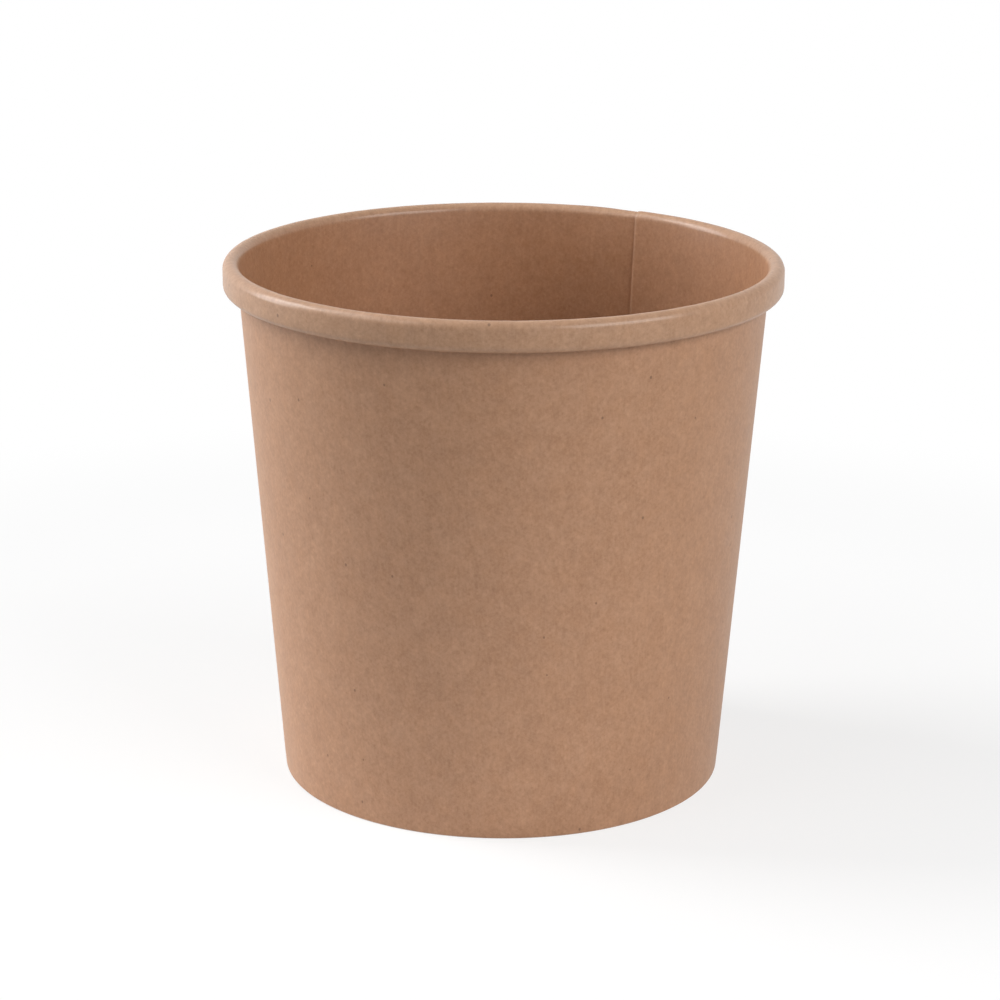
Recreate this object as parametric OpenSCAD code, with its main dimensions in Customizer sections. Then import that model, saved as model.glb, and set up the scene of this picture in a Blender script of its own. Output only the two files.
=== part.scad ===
// Paper soup bowl: a wall of kraft board wrapped into a cone, glued along one side seam
// and rolled over at the rim, and a disc of board set up inside a folded foot.

/* [Bowl] */
// Height from the foot to the top of the rim
bowl_height = 85.6; // [65:0.1:120]
// Outside diameter of the rolled rim
rim_diameter = 90; // [84:0.5:118]
// Outside diameter of the wall at the foot
foot_diameter = 72; // [60:0.5:78]

/* [Board] */
// Thickness of the wall's board
wall_board = 0.4; // [0.3:0.01:0.5]
// Thickness of the bottom disc's board
disc_board = 0.35; // [0.3:0.01:0.45]
// Gap that the sealing film leaves between two boards
seal_film = 0.03; // [0.02:0.01:0.06]

/* [Rim] */
// Width of the rolled rim, across its section
roll_width = 2.7; // [2.4:0.05:3.4]
// Height of the rolled rim
roll_height = 4.9; // [3.8:0.1:6]
// Length of board tucked up inside the roll
roll_tuck = 1.4; // [0.6:0.1:1.8]
// Gap between the tucked board and the wall
roll_gap = 0.1; // [0.05:0.01:0.2]

/* [Bottom] */
// Height of the disc's underside above the foot
disc_height = 8.5; // [7.5:0.1:12]
// Inside radius of the bend round the disc's edge
disc_bend = 0.5; // [0.2:0.1:1]
// Height of the hem turned up inside the disc's skirt
hem_height = 6.5; // [4:0.1:6.8]
// Inside radius of the fold at each corner of the foot
fold_bend = 0.05; // [0.03:0.01:0.09]
// Room left under the disc's skirt, inside the fold
skirt_clearance = 0.3; // [0.1:0.1:1]

/* [Side seam] */
// Direction of the inner ply's edge, counter-clockwise from +X
seam_direction = 58; // [0:1:359]
// Width of the glued overlap, half way up the wall
seam_overlap = 8; // [5:0.5:12]
// Width of the strip where the board climbs on to the inner ply
seam_ramp = 1.6; // [1:0.1:3]
// Depth that the two plies are pressed into each other
seam_press = 0.05; // [0.03:0.01:0.1]

/* [Hidden] */
$fn = 180;
kraft = "#a98166";
bend_step = 15;
ramp_steps = 3;

// Radii of the bends, at half the board's thickness
fold_mid = fold_bend + wall_board / 2;
roll_mid = (roll_width - wall_board) / 2;
disc_mid = disc_bend + disc_board / 2;

// Centres of the bends at the two ends of the wall, [radius, height]
foot_centre = [foot_diameter / 2, 0] + (fold_mid + wall_board / 2) * [-1, 1];
roll_centre = [rim_diameter / 2, bowl_height] - roll_width / 2 * [1, 1];

// The wall is the straight line that touches both of those bends
between = roll_centre - foot_centre;
wall_angle = atan2(between.y, between.x) + asin((fold_mid + roll_mid) / norm(between));
wall_run = sqrt(between * between - pow(fold_mid + roll_mid, 2));
along_wall = [cos(wall_angle), sin(wall_angle)];
out_of_wall = [sin(wall_angle), -cos(wall_angle)];
wall_foot = foot_centre + fold_mid * out_of_wall;

// The lower bend of the rolled rim, as wide as lets the tucked board lie by the wall
tuck_mid = (roll_mid * (1 + out_of_wall.x + out_of_wall.y)
    - (roll_height - wall_board) * out_of_wall.y - wall_board - roll_gap)
    / (1 + out_of_wall.x - out_of_wall.y);
roll_side = roll_height - roll_mid - tuck_mid - wall_board;

// The fold at the foot leaves room for the disc's skirt between the wall and the hem
foot_flat = (wall_board + disc_board + 2 * seal_film - 2 * fold_mid) / out_of_wall.x;
hem_foot = foot_centre - [foot_flat, 0] - fold_mid * out_of_wall;
hem_run = (hem_height - hem_foot.y) / along_wall.y;

// The disc's bend lies where its skirt comes down one sealing film inside the wall
disc_level = disc_height + disc_board / 2;
skirt_inset = (wall_board + disc_board) / 2 + seal_film;
disc_reach = foot_centre.x + ((disc_level - disc_mid - foot_centre.y) * along_wall.x
    + fold_mid - disc_mid - skirt_inset) / along_wall.y;
skirt_top = disc_level - disc_mid + disc_mid * out_of_wall.y;
skirt_run = (skirt_top - wall_board - skirt_clearance) / along_wall.y;

// Length of wall that the disc and its skirt cover, measured from the wall's foot
covered = (disc_level + disc_board / 2 - wall_foot.y) / along_wall.y;

// Angles that the seam takes up round the wall
middle_radius = (rim_diameter + foot_diameter) / 4;
overlap_angle = seam_overlap / middle_radius * 180 / PI;
ramp_angle = seam_ramp / middle_radius * 180 / PI;

// A course is a list of runs along the middle of a sheet, each [length, turn]. A turn of 0 is
// a straight of that length, and any other a bend of that radius, to the left if positive.
wall_course = [
    [wall_run, 0],
    [roll_mid, -90 - wall_angle],
    [roll_side, 0],
    [tuck_mid, wall_angle - 270],
    [roll_tuck, 0]
];
fold_course = [
    [hem_run, 0],
    [fold_mid, 180 - wall_angle],
    [foot_flat, 0],
    [fold_mid, wall_angle]
];
disc_course = [
    [disc_reach, 0],
    [disc_mid, wall_angle - 180],
    [skirt_run, 0]
];

// The wall's course again, from a length up it to an angle past the straight side of the roll.
// A negative angle stops short of that side, on top of the roll.
function seam_course(start, finish) = concat(
    [[wall_run - start, 0]],
    finish < 0
        ? [[roll_mid, -90 - wall_angle - finish]]
        : [[roll_mid, -90 - wall_angle], [roll_side, 0], [tuck_mid, -finish]]
);

// Place and heading after a share of one run, from the place and heading where it starts
function along(start, run, share) =
    let (heading = start[1], turned = heading + run[1] * share)
    run[1] == 0
        ? [start[0] + run[0] * share * [cos(heading), sin(heading)], heading]
        : [
            start[0] + sign(run[1]) * run[0]
                * [sin(turned) - sin(heading), cos(heading) - cos(turned)],
            turned
        ];

// Every place and heading down a course, with a bend taken in small steps
function trace(course, start, k = 0) = k == len(course) ? [start] :
    let (run = course[k], steps = max(1, ceil(abs(run[1]) / bend_step)))
    concat(
        [for (j = [0:steps - 1]) along(start, run, j / steps)],
        trace(course, along(start, run, 1), k + 1)
    );

// A line at a set distance to the right of a course
function beside(places, distance) = [
    for (place = places) place[0] + distance * [sin(place[1]), -cos(place[1])]
];

// The section between two such lines
module band(places, left, right) {
    there = beside(places, left);
    back = beside(places, right);
    polygon(concat(there, [for (k = [len(back) - 1:-1:0]) back[k]]));
}

// Part of the way round the wall, along the seam's course
module seam_band(from, sweep, start, finish, left, right) {
    rotate([0, 0, from])
        rotate_extrude(angle = sweep)
            band(
                trace(seam_course(start, finish), [wall_foot + start * along_wall, wall_angle]),
                left, right
            );
}

// How far outwards the board lies in one step of the ramp
function climb(k) = (wall_board - seam_press) * (1 - (k + 0.5) / ramp_steps);

// One sheet, folded in at the foot and rolled out at the rim. Going round, it meets its own
// inner edge at the seam, climbs over it in the ramp and is glued down on the overlap. Each
// step of the ramp starts and finishes at a place of its own, so no two end in one face.
module side_wall() {
    half = wall_board / 2;
    lap = wall_board - seam_press;
    step = ramp_angle / ramp_steps;
    color(kraft)
        difference() {
            union() {
                rotate_extrude()
                    band(
                        trace(
                            concat(fold_course, wall_course),
                            [hem_foot + hem_run * along_wall, wall_angle + 180]
                        ),
                        -half, half
                    );
                seam_band(seam_direction - overlap_angle, overlap_angle + step / 3,
                    wall_board, 90, lap - half, lap + half);
                for (k = [0:ramp_steps - 1])
                    seam_band(seam_direction + (k - 0.5) * step, 1.5 * step,
                        (k + 2) * wall_board, 85 - 10 * k, climb(k) - half, climb(k) + half);
            }
            for (k = [0:ramp_steps - 1])
                seam_band(seam_direction + max(k - 0.5, 0) * step, (k + 1 - max(k - 0.5, 0)) * step,
                    covered + (ramp_steps - k) * wall_board, -20 - 10 * k,
                    -half - seam_press, climb(k) - half);
        }
}

// A disc with its edge turned down into a skirt
module bottom_disc() {
    half = disc_board / 2;
    color(kraft)
        rotate_extrude()
            band(trace(disc_course, [[0, disc_level], 0]), -half, half);
}

side_wall();
bottom_disc();
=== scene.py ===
import math

import bpy
from mathutils import Matrix, Vector


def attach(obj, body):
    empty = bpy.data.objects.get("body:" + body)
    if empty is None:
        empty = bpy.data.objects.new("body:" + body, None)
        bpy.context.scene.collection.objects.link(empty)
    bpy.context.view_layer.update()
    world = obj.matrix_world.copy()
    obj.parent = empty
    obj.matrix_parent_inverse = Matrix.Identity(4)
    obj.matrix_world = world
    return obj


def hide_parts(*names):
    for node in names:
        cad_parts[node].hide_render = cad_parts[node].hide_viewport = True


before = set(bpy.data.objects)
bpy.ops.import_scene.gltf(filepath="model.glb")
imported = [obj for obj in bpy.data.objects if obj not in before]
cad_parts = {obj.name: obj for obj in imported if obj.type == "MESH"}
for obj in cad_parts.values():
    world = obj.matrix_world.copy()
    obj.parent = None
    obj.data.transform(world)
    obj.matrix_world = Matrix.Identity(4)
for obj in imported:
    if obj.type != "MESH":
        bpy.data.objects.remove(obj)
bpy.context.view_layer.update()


# Camera, light and floor: a long lens that looks slightly down into the bowl, a broad soft
# light at the front right, three on the left from just behind the bowl round to the front, a
# faint one above the back, and a white floor.

view_down = math.radians(16.81)
view_roll = math.radians(0.282)
view_target = Vector((-0.0004, 0, 0.04485))
view_distance = 0.519

forward = Vector((0, math.cos(view_down), -math.sin(view_down)))
up = Vector((0, math.sin(view_down), math.cos(view_down)))
across = Vector((1, 0, 0))
rolled_across = math.cos(view_roll) * across + math.sin(view_roll) * up
rolled_up = math.cos(view_roll) * up - math.sin(view_roll) * across

camera_data = bpy.data.cameras.new("camera")
camera_data.sensor_width = 36
camera_data.lens = 113.9
camera_data.clip_start = 0.01
camera = bpy.data.objects.new("camera", camera_data)
bpy.context.collection.objects.link(camera)
turn = Matrix((rolled_across, rolled_up, -forward)).transposed().to_4x4()
camera.matrix_world = Matrix.Translation(view_target - view_distance * forward) @ turn
bpy.context.scene.camera = camera
bpy.context.scene.view_settings.view_transform = "Standard"


def soft_light(name, azimuth, elevation, distance, width, height, power):
    """A rectangular light that faces the middle of the bowl, from an azimuth right of front."""
    light = bpy.data.lights.new(name, "AREA")
    light.shape = "RECTANGLE"
    light.size = width
    light.size_y = height
    light.energy = power
    lamp = bpy.data.objects.new(name, light)
    bpy.context.collection.objects.link(lamp)
    a, e = math.radians(azimuth), math.radians(elevation)
    away = Vector((math.sin(a) * math.cos(e), -math.cos(a) * math.cos(e), math.sin(e)))
    lamp.location = Vector((0, 0, 0.045)) + distance * away
    lamp.rotation_euler = away.to_track_quat("Z", "Y").to_euler()


soft_light("front_right", 50, 28, 0.65, 0.5, 0.34, 3.25)
soft_light("left_edge", -105, 22, 0.8, 0.35, 0.6, 4.6)
soft_light("left_high", -105, 45, 0.9, 0.4, 0.6, 3.2)
soft_light("left_front", -60, 45, 0.9, 0.5, 0.5, 1.7)
soft_light("back_top", 180, 75, 0.9, 0.6, 0.6, 0.4)


class Wire:
    """A socket in a node tree. Sums on it add Math nodes, and node() adds any other node."""

    def __init__(self, tree, socket=None):
        self.tree = tree
        self.socket = socket

    def node(self, kind, settings=(), inputs=(), output=0):
        made = self.tree.nodes.new(kind)
        for name, value in dict(settings).items():
            if name == "stops":
                ramp = made.color_ramp
                while len(ramp.elements) < len(value):
                    ramp.elements.new(1)
                for element, (place, colour) in zip(ramp.elements, value):
                    element.position = place
                    element.color = colour
            else:
                setattr(made, name, value)
        for name, value in dict(inputs).items():
            if isinstance(value, Wire):
                self.tree.links.new(value.socket, made.inputs[name])
            else:
                made.inputs[name].default_value = value
        return Wire(self.tree, made.outputs[output])

    def math(self, operation, *values):
        return self.node("ShaderNodeMath", {"operation": operation}, enumerate(values))

    def __add__(self, other):
        return self.math("ADD", self, other)

    def __radd__(self, other):
        return self.math("ADD", other, self)

    def __sub__(self, other):
        return self.math("SUBTRACT", self, other)

    def __rsub__(self, other):
        return self.math("SUBTRACT", other, self)

    def __mul__(self, other):
        return self.math("MULTIPLY", self, other)

    def __rmul__(self, other):
        return self.math("MULTIPLY", other, self)

    def __truediv__(self, other):
        return self.math("DIVIDE", self, other)

    def __gt__(self, other):
        return self.math("GREATER_THAN", self, other)

    def __lt__(self, other):
        return self.math("LESS_THAN", self, other)

    def eased(self, low, high, first=0, last=1):
        """Goes smoothly from the first value to the last while this one goes from low to high."""
        return self.node(
            "ShaderNodeMapRange",
            {"interpolation_type": "SMOOTHSTEP"},
            {0: self, 1: low, 2: high, 3: first, 4: last},
        )

    def finish(self, output, socket):
        """Links this socket to the named input of the tree's output node."""
        self.tree.links.new(self.socket, output.inputs[socket])


def empty_material(name):
    """A material with nothing in its tree but the output."""
    material = bpy.data.materials.new(name)
    material.use_nodes = True
    material.node_tree.nodes.clear()
    output = material.node_tree.nodes.new("ShaderNodeOutputMaterial")
    return material, Wire(material.node_tree), output


def backdrop_rays(wire):
    """1 for the rays that show the backdrop: from the camera, reflected or let through."""
    rays = wire.node("ShaderNodeLightPath").socket.node
    camera_ray = Wire(wire.tree, rays.outputs["Is Camera Ray"])
    reflected = Wire(wire.tree, rays.outputs["Is Glossy Ray"])
    let_through = Wire(wire.tree, rays.outputs["Is Transmission Ray"])
    return wire.math("MAXIMUM", wire.math("MAXIMUM", camera_ray, reflected), let_through)


# The world is white where the backdrop shows, and next to nothing as a light.
world = bpy.data.worlds.new("studio")
world.use_nodes = True
world.node_tree.nodes.clear()
wire = Wire(world.node_tree)
seen = backdrop_rays(wire)
world_light = wire.node(
    "ShaderNodeBackground", {}, {"Color": (1, 1, 1, 1), "Strength": 0.02 + 0.98 * seen}
)
world_light.finish(world.node_tree.nodes.new("ShaderNodeOutputWorld"), "Surface")
bpy.context.scene.world = world

# The floor is a matt white table top that lights the bowl from below, and is dark further out.
# To the camera it shows mostly as plain white and partly as lit, which keeps the bowl's soft
# shadow. Further out it shows as white alone.
floor_mesh = bpy.data.meshes.new("floor")
half_floor = 3
floor_mesh.from_pydata(
    [(x * half_floor, y * half_floor, 0) for x, y in ((-1, -1), (1, -1), (1, 1), (-1, 1))],
    [],
    [(0, 1, 2, 3)],
)
floor = bpy.data.objects.new("floor", floor_mesh)
bpy.context.collection.objects.link(floor)
floor_white, wire, output = empty_material("floor_white")
seen = backdrop_rays(wire)
spot = wire.node("ShaderNodeTexCoord", {}, {}, "Object")
distance = wire.node("ShaderNodeVectorMath", {"operation": "LENGTH"}, {0: spot}, "Value")
matt = wire.node("ShaderNodeBsdfDiffuse", {}, {"Color": distance.eased(0.12, 0.25, 0.95, 0.1)})
plain = wire.node("ShaderNodeEmission", {}, {"Color": (1, 1, 1, 1), "Strength": 1})
shown_plain = distance.eased(0.07, 0.22, 0.72, 1) * seen
wire.node("ShaderNodeMixShader", {}, {0: shown_plain, 1: matt, 2: plain}).finish(output, "Surface")
floor_mesh.materials.append(floor_white)


# Side wall: one fan-shaped blank of kraft board. It is wrapped into a cone, lapped and glued
# down one side, rolled outwards into a hollow rim, and folded in and up round the skirt of the
# bottom disc.

mm = 0.001
board = 0.4 * mm
foot_radius = 36 * mm
rim_radius = 45 * mm
middle_radius = (rim_radius + foot_radius) / 2
height = 85.6 * mm
roll_width = 2.7 * mm
roll_height = 4.9 * mm
roll_tuck = 1.4 * mm
roll_gap = 0.1 * mm
fold_radius = 0.25 * mm
disc_board = 0.35 * mm
seal_film = 0.03 * mm
hem_height = 6.5 * mm

# The wall is the line that touches the bend at the foot and the bend at the rim.
roll_radius = (roll_width - board) / 2
foot_centre = Vector((foot_radius - fold_radius - board / 2, fold_radius + board / 2))
roll_centre = Vector((rim_radius - roll_width / 2, height - roll_width / 2))
between = roll_centre - foot_centre
lean = math.atan2(between.y, between.x) + math.asin((fold_radius + roll_radius) / between.length)
wall_run = math.sqrt(between.length**2 - (fold_radius + roll_radius) ** 2)
outward = Vector((math.sin(lean), -math.cos(lean)))
upward = Vector((math.cos(lean), math.sin(lean)))
tuck_radius = (
    roll_radius * (1 + outward.x + outward.y) - (roll_height - board) * outward.y - board - roll_gap
) / (1 + outward.x - outward.y)
roll_side = roll_height - roll_radius - tuck_radius - board

# The fold at the foot leaves room for the disc's skirt between the wall and the hem.
foot_flat = (board + disc_board + 2 * seal_film - 2 * fold_radius) / outward.x
hem_foot = foot_centre - Vector((foot_flat, 0)) - fold_radius * outward
hem_run = (hem_height - hem_foot.y) / upward.y


def along(place, heading, size, turned, share):
    """Place and heading after a share of a run: a straight, or a bend of that radius."""
    if turned == 0:
        return place + size * share * Vector((math.cos(heading), math.sin(heading))), heading
    now = heading + turned * share
    chord = Vector((math.sin(now) - math.sin(heading), math.cos(heading) - math.cos(now)))
    return place + math.copysign(size, turned) * chord, now


def trace(start, heading, runs):
    """Places down the middle of a sheet's section: [radius, height], heading, distance, give.

    A run is its length or its radius, its turn, the number of steps in it, and its give: how
    much of the climb over the seam the board takes there, or -1 where ribs are pressed in.
    """
    place, gone = Vector(start), 0.0
    places = []
    for size, turned, steps, give in runs:
        length = size * abs(turned) if turned else size
        for step in range(steps):
            here, now = along(place, heading, size, turned, step / steps)
            places.append((here, now, gone + length * step / steps, give))
        place, heading = along(place, heading, size, turned, 1)
        gone += length
    places.append((place, heading, gone, runs[-1][3]))
    return places


def section(name, places):
    """An outline round both sides of a sheet, as loose points that say how they belong to it.

    The left side goes up, the right side comes back. Left is the side that holds the food.
    """
    points = [(p, -1.0) for p in places] + [(p, 1.0) for p in reversed(places)]
    outline = bpy.data.meshes.new(name)
    outline.from_pydata([(p[0].x, 0, p[0].y) for p, _ in points], [], [])
    rightward = outline.attributes.new("rightward", "FLOAT_VECTOR", "POINT")
    facts = outline.attributes.new("facts", "FLOAT_VECTOR", "POINT")
    for k, ((place, heading, gone, give), side) in enumerate(points):
        rightward.data[k].vector = (math.sin(heading), 0, -math.cos(heading))
        facts.data[k].vector = (side, gone, give)
    made = bpy.data.objects.new(name, outline)
    bpy.context.collection.objects.link(made)
    return made


# The radius at which an angle round the bowl becomes a distance along the sheet.
sheet_radius = rim_radius - 4 * mm


def sweep_tree():
    """Sweeps a sheet's outline round the axis, with the ends cut square or joined up.

    Going round, a sheet with cut ends climbs by the thickness of a board on to its own
    beginning. Widths and ramps are angles, never 0, and what isn't stated is left out.
    """
    tree = bpy.data.node_groups.new("sweep_sheet", "GeometryNodeTree")
    face = tree.interface
    face.new_socket("Outline", in_out="INPUT", socket_type="NodeSocketGeometry")
    face.new_socket("Stations", in_out="INPUT", socket_type="NodeSocketInt")
    sizes = {"Start angle": 0, "Sweep": 0, "Half board": 0, "Cut ends": 0, "Unevenness": 0}
    sizes |= {"Climb": 0, "Ramp": 0.1, "Rim ramp": 0.1, "Rim from": 1}
    sizes |= {"Skive": 0, "Skive width": 0.1, "Crease": 0, "Crease width": 0.1}
    sizes |= {"Ribs": 0, "Rib depth": 0}
    for name, unstated in sizes.items():
        socket = face.new_socket(name, in_out="INPUT", socket_type="NodeSocketFloat")
        socket.default_value = unstated
    face.new_socket("Material", in_out="INPUT", socket_type="NodeSocketMaterial")
    face.new_socket("Sheet", in_out="OUTPUT", socket_type="NodeSocketGeometry")
    start = tree.nodes.new("NodeGroupInput")
    given = {socket.name: Wire(tree, socket) for socket in start.outputs if socket.name}
    wire = Wire(tree)
    cut, stations = given["Cut ends"], given["Stations"]

    points = wire.node("GeometryNodeAttributeDomainSize", {}, {"Geometry": given["Outline"]})
    rows = points + 1
    grid = wire.node("GeometryNodeMeshGrid", {}, {"Vertices X": stations, "Vertices Y": rows})
    index = wire.node("GeometryNodeInputIndex")
    station = wire.math("FLOOR", (index + 0.5) / rows)
    row = wire.math("MODULO", index - station * rows, points)

    def sampled(value):
        return wire.node(
            "GeometryNodeSampleIndex",
            {"data_type": "FLOAT_VECTOR", "domain": "POINT"},
            {"Geometry": given["Outline"], "Value": value, "Index": row},
        )

    def named(name):
        return wire.node(
            "GeometryNodeInputNamedAttribute", {"data_type": "FLOAT_VECTOR"}, {"Name": name}
        )

    def parts(vector):
        made = wire.node("ShaderNodeSeparateXYZ", {}, {0: vector}).socket.node
        return [Wire(tree, socket) for socket in made.outputs]

    middle, _, level = parts(sampled(wire.node("GeometryNodeInputPosition")))
    rightward, _, rightward_up = parts(sampled(named("rightward")))
    side, gone, give = parts(sampled(named("facts")))
    ribbed = wire.math("MAXIMUM", 0 - give, 0) * wire.math("MAXIMUM", side, 0)
    give = wire.math("MAXIMUM", give, 0)

    # A sheet with cut ends has a first and a last station that close it, at no thickness. Its
    # stations lie close together in the thinned strip by its first edge, and where the second
    # ply comes to that edge.
    last = stations - 1 - 2 * cut
    strip_stations = 9
    close = strip_stations * cut
    inner = wire.math("MINIMUM", wire.math("MAXIMUM", station - cut, 0), last)
    strip = given["Skive width"] * cut
    turned = strip * wire.math("MINIMUM", inner / strip_stations, 1) + (
        given["Sweep"] - strip
    ) * wire.math("MAXIMUM", inner - close, 0) / (last - close)
    gathered, gathered_over = 0.85, 0.03
    from_edge = turned - math.tau
    spread = from_edge / gathered_over
    turned = turned - gathered * cut * from_edge * wire.math("EXPONENT", 0 - spread * spread)
    end = wire.math("MAXIMUM", station < 0.5, station > stations - 1.5) * cut
    angle = given["Start angle"] - turned
    round_x, round_y = wire.math("COSINE", angle), wire.math("SINE", angle)

    # The climb is longer and lower on the rim, where the plies are crushed together, and takes
    # up what the thinned edge leaves free. It changes over the last 12 mm below the rim.
    on_rim = gone.eased(given["Rim from"] - 12 * mm, given["Rim from"])
    ramp = given["Ramp"] + (given["Rim ramp"] - given["Ramp"]) * on_rim
    thinned = cut * (1 - turned.eased(0, given["Skive width"]))
    freed = 1 - turned.eased(math.tau, math.tau + given["Skive width"])
    up_ramp = turned.eased(math.tau - ramp, math.tau)
    climbed = given["Climb"] * up_ramp - up_ramp * freed * given["Skive"]
    climbed = climbed * (1 - 0.5 * on_rim)

    # The board is slightly uneven, in patches of about 5 mm.
    patches_round, patches_up = 9, 160
    patch = wire.node(
        "ShaderNodeCombineXYZ",
        {},
        {0: round_x * patches_round, 1: round_y * patches_round, 2: gone * patches_up},
    )
    rough = wire.node(
        "ShaderNodeTexNoise",
        {"noise_dimensions": "3D"},
        {"Vector": patch, "Scale": 1, "Detail": 3},
    )

    # The second ply has a crease on its inner face, where it parts from the first one's edge.
    beside = 1 - wire.math("ABSOLUTE", turned - math.tau).eased(0.001, given["Crease width"])
    crease = given["Crease"] * beside * give * (1 - on_rim) * (side < 0)

    # In the hem, the foot and the lowest strip of the wall, which don't climb, the second ply
    # is thinner and lies inside the first, where it shows nowhere.
    pressed = (turned > math.tau + 0.001) * (1 - give)
    rib = given["Rib depth"] * ribbed * (0.5 + 0.5 * wire.math("SINE", turned * given["Ribs"]))
    half = given["Half board"] * (1 - 0.4 * pressed) - given["Skive"] * thinned * give
    shift = (climbed + given["Unevenness"] * rough) * give + (half - rib) * side * (1 - end)
    shift = shift + crease
    radius = middle + rightward * shift
    lifted = level + rightward_up * shift
    place = wire.node(
        "ShaderNodeCombineXYZ", {}, {0: radius * round_x, 1: radius * round_y, 2: lifted}
    )
    swept = wire.node("GeometryNodeSetPosition", {}, {"Geometry": grid, "Position": place})

    # What the board's finish follows: the place on the sheet, its side, and the cut ends.
    swept = wire.node(
        "GeometryNodeStoreNamedAttribute",
        {"data_type": "FLOAT_VECTOR", "domain": "POINT"},
        {
            "Geometry": swept,
            "Name": "sheet_place",
            "Value": wire.node(
                "ShaderNodeCombineXYZ", {}, {0: turned * sheet_radius, 1: gone, 2: side}
            ),
        },
    )
    face_station = wire.math("FLOOR", (index + 0.5) / points)
    swept = wire.node(
        "GeometryNodeStoreNamedAttribute",
        {"data_type": "FLOAT", "domain": "FACE"},
        {
            "Geometry": swept,
            "Name": "cut_end",
            "Value": wire.math("MAXIMUM", face_station < 0.5, face_station > stations - 2.5) * cut,
        },
    )

    # The grid's edges are joined up, and what the joining leaves loose is taken away.
    joined = wire.node("GeometryNodeMergeByDistance", {}, {"Geometry": swept, "Distance": 1e-6})
    loose = wire.node("GeometryNodeInputMeshEdgeNeighbors") < 0.5
    joined = wire.node(
        "GeometryNodeDeleteGeometry", {"domain": "EDGE"}, {"Geometry": joined, "Selection": loose}
    )
    real = wire.node("GeometryNodeRealizeInstances", {}, {"Geometry": joined})
    done = wire.node(
        "GeometryNodeSetMaterial", {}, {"Geometry": real, "Material": given["Material"]}
    )
    done.finish(tree.nodes.new("NodeGroupOutput"), "Sheet")
    return tree


def made_plain(name, source, tree, **inputs):
    """Runs a tree on an object and keeps the result as a plain mesh under a new name."""
    modifier = source.modifiers.new("nodes", "NODES")
    modifier.node_group = tree
    for socket in tree.interface.items_tree:
        key = socket.name.lower().replace(" ", "_")
        if socket.in_out == "INPUT" and key in inputs:
            modifier[socket.identifier] = inputs[key]
    view = bpy.context.evaluated_depsgraph_get()
    mesh = bpy.data.meshes.new_from_object(source.evaluated_get(view), depsgraph=view)
    mesh.name = name
    plain = bpy.data.objects.new(name, mesh)
    bpy.context.collection.objects.link(plain)
    bpy.data.objects.remove(source)
    mesh.shade_smooth()
    mesh.set_sharp_from_angle(angle=math.radians(40))
    return plain


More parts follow.
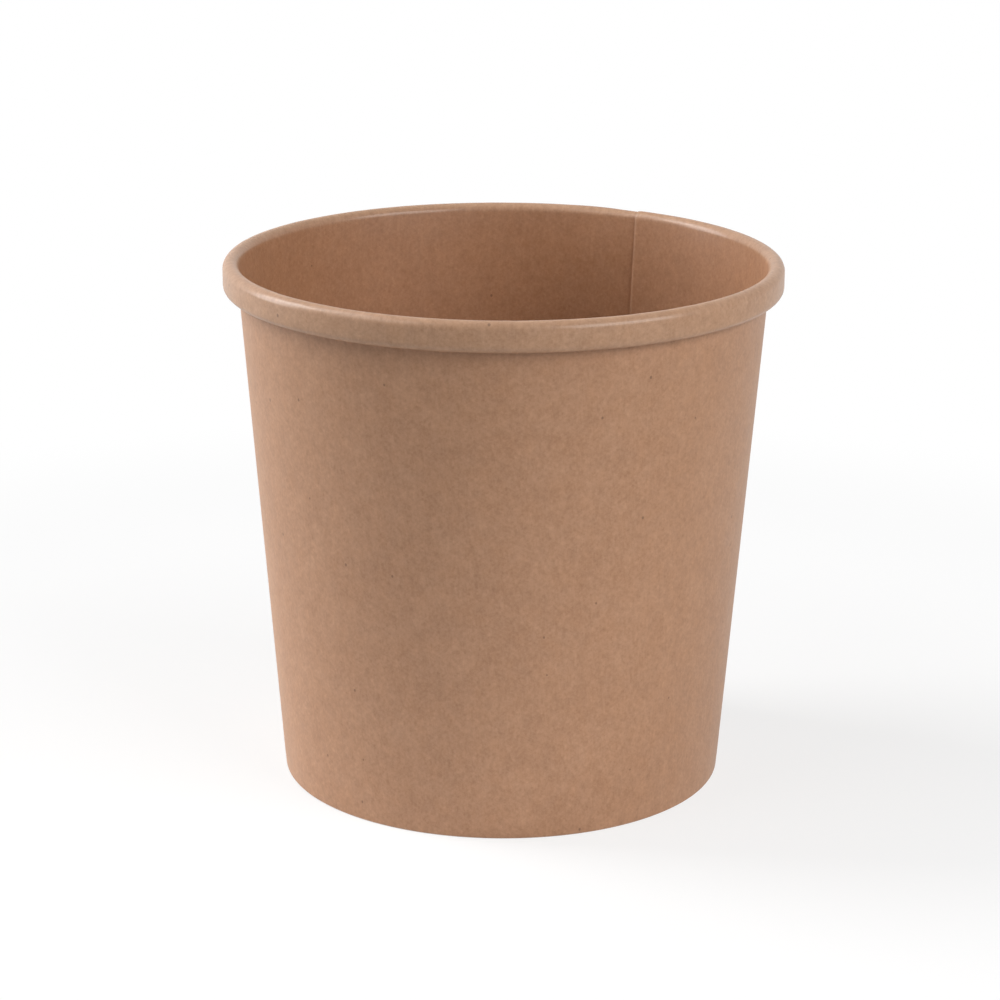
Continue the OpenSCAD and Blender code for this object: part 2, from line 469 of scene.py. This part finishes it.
def kraft(name, place_from):
    """Kraft board: brown pulp with long fibres, cloudy patches and a few dark specks of bark."""
    material, wire, output = empty_material(name)
    speck_colour = (0.12, 0.055, 0.030, 1)
    # The coated side's tint is partly the film's deeper colour and partly painted shade of the
    # bowl's inside.
    film_and_shade_tint = (0.86, 0.77, 0.67, 1)
    # The rim's tint is partly paler stretched board and partly painted reflection of the white
    # surroundings.
    stretched_and_reflection_tint = (1.0, 1.05, 1.07, 1)
    # The cut colour is the board's paler middle on the cut ends, and also a painted highlight
    # beside the cut edge.
    cut_face_and_highlight_colour = (0.60, 0.44, 0.32, 1)

    if place_from == "sheet":
        place = wire.node("ShaderNodeAttribute", {"attribute_name": "sheet_place"}, {}, "Vector")
    else:
        place = wire.node("ShaderNodeTexCoord", {}, {}, "Object")

    def grain(size, stretch, direction, detail, seed):
        """Noise whose features are that many millimetres wide, stretched along one direction."""
        turned = wire.node(
            "ShaderNodeMapping",
            {"vector_type": "TEXTURE"},
            {
                "Vector": place,
                "Location": (seed * mm, seed * mm, 0),
                "Rotation": (0, 0, math.radians(direction)),
                "Scale": (size * stretch * mm, size * mm, 0.4),
            },
        )
        return wire.node(
            "ShaderNodeTexNoise",
            {"noise_dimensions": "3D"},
            {"Vector": turned, "Scale": 1, "Detail": detail, "Roughness": 0.7},
        )

    def mixed(factor, first, second, how="MIX"):
        """Two colours mixed, or the first multiplied by the second."""
        return wire.node(
            "ShaderNodeMix",
            {"data_type": "RGBA", "blend_type": how},
            {0: factor, 6: first, 7: second},
            2,
        )

    # Pulp fibres lie every way, and a little more of them along the web, which runs up the wall.
    cloud = grain(7, 1.2, 90, 2, 31)
    floc = grain(1.9, 1.1, 90, 2, 117)
    fibre = grain(0.42, 3.0, 84, 1, 239)
    fibre = fibre + 0.8 * grain(0.42, 3.0, 28, 1, 373)
    fibre = fibre + 0.8 * grain(0.42, 3.0, 141, 1, 411)
    fibre = fibre / 2.6
    pulp = grain(0.5, 1.0, 0, 2, 503)
    tone = (
        0.5
        + 0.34 * (cloud - 0.5)
        + 0.53 * (floc - 0.5)
        + 1.25 * (fibre - 0.5)
        + 0.65 * (pulp - 0.5)
    )
    board_colour = wire.node(
        "ShaderNodeValToRGB",
        {
            "stops": [
                (0.0, (0.305, 0.150, 0.075, 1)),
                (0.5, (0.408, 0.216, 0.118, 1)),
                (1.0, (0.511, 0.286, 0.167, 1)),
            ]
        },
        {"Fac": tone},
    )

    # Some patches of pulp are a little warmer in colour than the rest, and some a little greyer.
    greyer = 0.5 + 2 * (grain(2.6, 1.1, 90, 1, 607) - 0.5)
    tint = mixed(greyer, (1.0, 0.985, 0.96, 1), (1.0, 1.015, 1.04, 1))
    board_colour = mixed(1, board_colour, tint, "MULTIPLY")

    # Specks: one small dark fleck of bark in some of the cells of a coarse grid.
    cells = wire.node("ShaderNodeMapping", {}, {"Vector": place, "Scale": (0.12 / mm, 0.1 / mm, 1)})
    cell = wire.node(
        "ShaderNodeTexVoronoi", {"voronoi_dimensions": "2D"}, {"Vector": cells, "Scale": 1}
    ).socket.node
    chance = wire.node(
        "ShaderNodeSeparateColor", {}, {0: Wire(material.node_tree, cell.outputs["Color"])}
    )
    distance = Wire(material.node_tree, cell.outputs["Distance"])
    speck_size = 0.008 + 0.03 * chance * chance * chance
    speck = distance.eased(speck_size * 0.5, speck_size, 0.6, 0) * (chance > 0.8)
    speckled = mixed(speck, board_colour, speck_colour)

    # The inside of the wall has a clear film, which deepens the colour a little; the rest of its
    # deeper, darker tone is painted shade of the bowl's inside. Where the board is rolled over the
    # rim it is paler instead: partly the stretched board, partly a painted reflection of the white
    # surroundings on its film. The bottom disc has the film and the painted shade on both faces.
    if place_from == "sheet":
        parts = wire.node("ShaderNodeSeparateXYZ", {}, {0: place}).socket.node
        coated = Wire(material.node_tree, parts.outputs["Z"]) < 0
        from_cut = Wire(material.node_tree, parts.outputs["X"])
        up_sheet = Wire(material.node_tree, parts.outputs["Y"])
        rolled = up_sheet.eased(roll_from - 0.5 * mm, roll_from + 1 * mm)
        # The roll's paler tint is partly stretched board and partly painted reflection.
        coated_side_tint = mixed(rolled, film_and_shade_tint, stretched_and_reflection_tint)
    else:
        coated, coated_side_tint = 1, film_and_shade_tint
    tinted_colour = mixed(coated, speckled, coated_side_tint, "MULTIPLY")

    # The cut end of the board shows its paler middle. A narrow line beside the cut gets a little of
    # the same colour as a painted highlight along the edge.
    cut = 0.75 * wire.node("ShaderNodeAttribute", {"attribute_name": "cut_end"}, {}, "Fac")
    if place_from == "sheet":
        # This narrow line is a painted highlight along the cut edge.
        cut = cut + from_cut.eased(0.25 * mm, 0.55 * mm, 0.08, 0)
    colour = mixed(cut, tinted_colour, cut_face_and_highlight_colour)

    # The fibres stand out a little, and the film over them is smoother.
    relief = fibre + 0.4 * floc + 0.3 * pulp
    bump = wire.node(
        "ShaderNodeBump", {}, {"Strength": 1, "Distance": 0.015 * mm, "Height": relief}
    )
    shader = wire.node(
        "ShaderNodeBsdfPrincipled",
        {},
        {
            "Base Color": colour,
            "Roughness": 0.5 + 0.22 * coated + 0.12 * (floc - 0.5),
            "Normal": bump,
            "Specular IOR Level": 0.55,
            "Coat Weight": 0.5 * coated,
            "Coat Roughness": 0.24,
        },
    )
    shader.finish(output, "Surface")
    return material


roll_from = hem_run + fold_radius * math.pi + foot_flat + wall_run
seam_direction = math.radians(58)
overlap = 8 * mm / middle_radius

# The lowest strip of the wall is pressed flat against the hem, and doesn't climb at the seam.
# The ribs stop short of both edges of the hem, and rise from nothing over a short length.
foot_strip = 2 * mm
plain_edge = 0.7 * mm
rib_rise = 0.4 * mm

wall_places = trace(
    hem_foot + hem_run * upward,
    lean + math.pi,
    [
        (plain_edge, 0, 1, 0),
        (rib_rise, 0, 1, 0),
        (hem_run - 2 * (plain_edge + rib_rise), 0, 1, -1),
        (rib_rise, 0, 1, -1),
        (plain_edge, 0, 1, 0),
        (fold_radius, math.pi - lean, 4, 0),
        (foot_flat, 0, 1, 0),
        (fold_radius, lean, 4, 0),
        (foot_strip, 0, 2, 0),
        (wall_run - foot_strip, 0, 10, 1),
        (roll_radius, -math.pi / 2 - lean, 16, 1),
        (roll_side, 0, 2, 1),
        (tuck_radius, lean - 1.5 * math.pi, 10, 1),
        (roll_tuck, 0, 1, 1),
    ],
)
sweep = sweep_tree()
side_wall = made_plain(
    "side_wall_board",
    section("wall_outline", wall_places),
    sweep,
    stations=860,
    start_angle=seam_direction,
    sweep=math.tau + overlap,
    ramp=4 * mm / middle_radius,
    rim_ramp=8 * mm / middle_radius,
    rim_from=roll_from,
    climb=board + 0.005 * mm,
    half_board=board / 2,
    skive_width=0.4 * mm / middle_radius,
    skive=0.06 * mm,
    crease_width=0.7 * mm / middle_radius,
    crease=0.13 * mm,
    ribs=128.0,
    rib_depth=0.14 * mm,
    cut_ends=1.0,
    unevenness=0.06 * mm,
    material=kraft("kraft_wall", "sheet"),
)
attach(side_wall, "root")
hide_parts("side_wall")


# Bottom disc: a disc of the same kraft board, a little thinner, with its edge turned down into
# a skirt. The skirt is sealed between the wall and its hem, so the disc stands clear of the
# table.

disc_bend = 0.5 * mm + disc_board / 2
disc_level = 8.5 * mm + disc_board / 2
skirt_clearance = 0.3 * mm
skirt_inset = (board + disc_board) / 2 + seal_film
disc_reach = foot_centre.x + (
    (disc_level - disc_bend - foot_centre.y) * upward.x + fold_radius - disc_bend - skirt_inset
) / upward.y
skirt_top = disc_level - disc_bend + disc_bend * outward.y
skirt_run = (skirt_top - board - skirt_clearance) / upward.y

disc_places = trace(
    (0, disc_level),
    0,
    [
        (disc_reach, 0, 12, 0),
        (disc_bend, lean - math.pi, 8, 0),
        (skirt_run, 0, 3, 0),
    ],
)
bottom_disc = made_plain(
    "bottom_disc_board",
    section("disc_outline", disc_places),
    sweep,
    stations=241,
    sweep=math.tau,
    half_board=disc_board / 2,
    material=kraft("kraft_disc", "object"),
)
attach(bottom_disc, "root")
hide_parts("bottom_disc")
